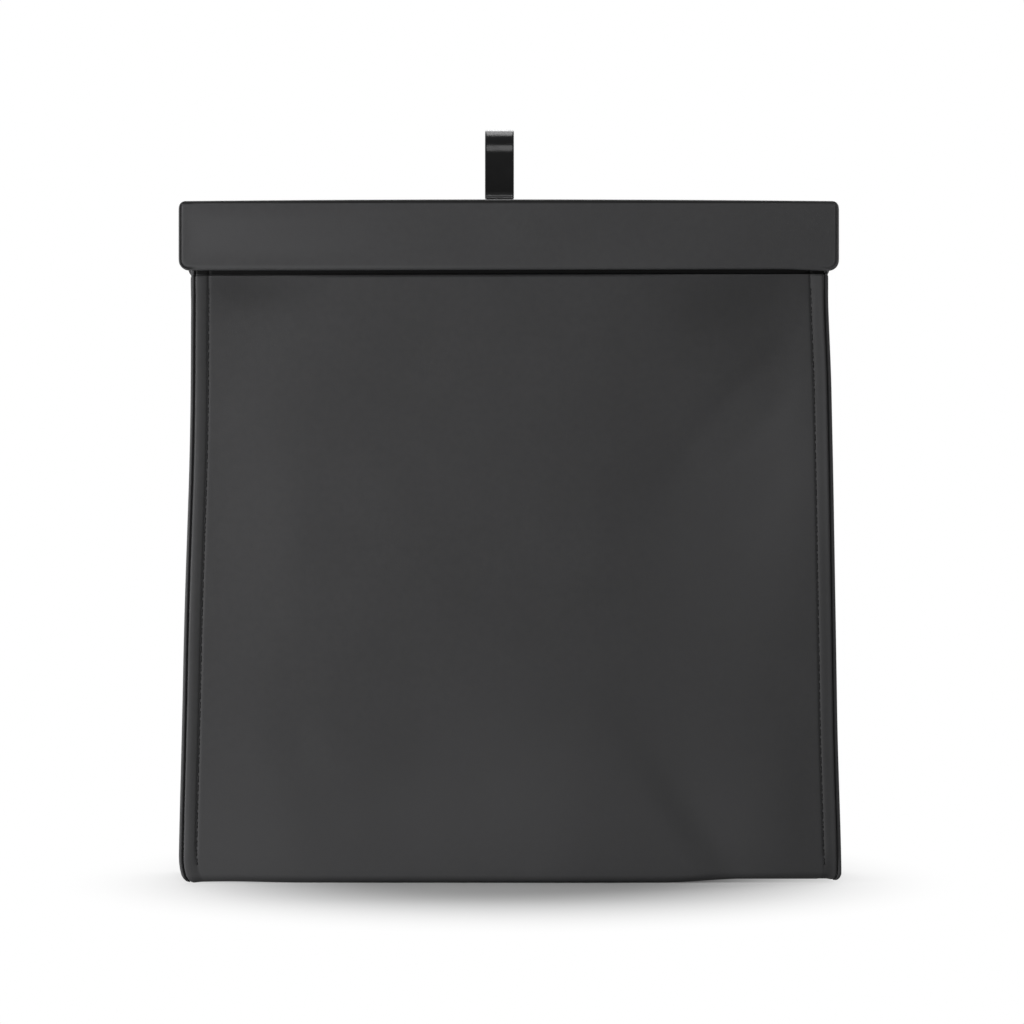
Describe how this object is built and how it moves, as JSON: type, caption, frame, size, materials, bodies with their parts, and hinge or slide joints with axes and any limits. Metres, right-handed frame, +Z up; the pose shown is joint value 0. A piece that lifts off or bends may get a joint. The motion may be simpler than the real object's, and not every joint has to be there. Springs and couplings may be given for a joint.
{
  "type": "car trash bin",
  "caption": "Slim black leather car trash bin: a soft sewn bag on a stiff mouth, with a magnetic flap lid on a leather hinge and a bent metal strap hook for hanging.",
  "frame": {"origin": "centre of the flat base, where the bin stands", "axes": "+Z up, +X to the right seen from the front, the front with the lid's lip faces -Y and the hook is at the back, +Y"},
  "size_m": [0.23, 0.089, 0.266],
  "materials": {
    "bag_leather": "matt smooth black synthetic leather, soft, very fine grain",
    "header_leather": "matt smooth black synthetic leather, glued flat over board, turned edges",
    "stiffener": "plain black sheet, sewn in",
    "lining_cloth": "coated waterproof woven lining",
    "black_metal": "gloss black coat",
    "steel": "plain plated steel, sewn in"
  },
  "bodies": {
    "bin": {"outer_wrap": "bag_leather", "left_gusset": "bag_leather", "right_gusset": "bag_leather", "front_board": "stiffener", "back_board": "stiffener", "base_board": "stiffener", "mouth_frame": "stiffener", "inner_lining": "lining_cloth", "left_strike_plate": "steel", "right_strike_plate": "steel", "hinge_strip": "header_leather", "rear_bar_cover": "header_leather", "rear_bar_board": "stiffener", "hook": "black_metal", "hook_rivets": "black_metal"},
    "lid": {"lid_cover": "header_leather", "lid_top_board": "stiffener", "lid_lip_board": "stiffener", "lid_lining": "lining_cloth", "left_magnet": "steel", "right_magnet": "steel"}
  },
  "joints": [
    {"name": "lid_hinge", "type": "hinge", "parent": "bin", "child": "lid", "pos_m": [0, 0.0304, 0.235], "axis": [-1, 0, 0], "range_deg": [0, 98], "deforming": ["hinge_strip"]}
  ]
}
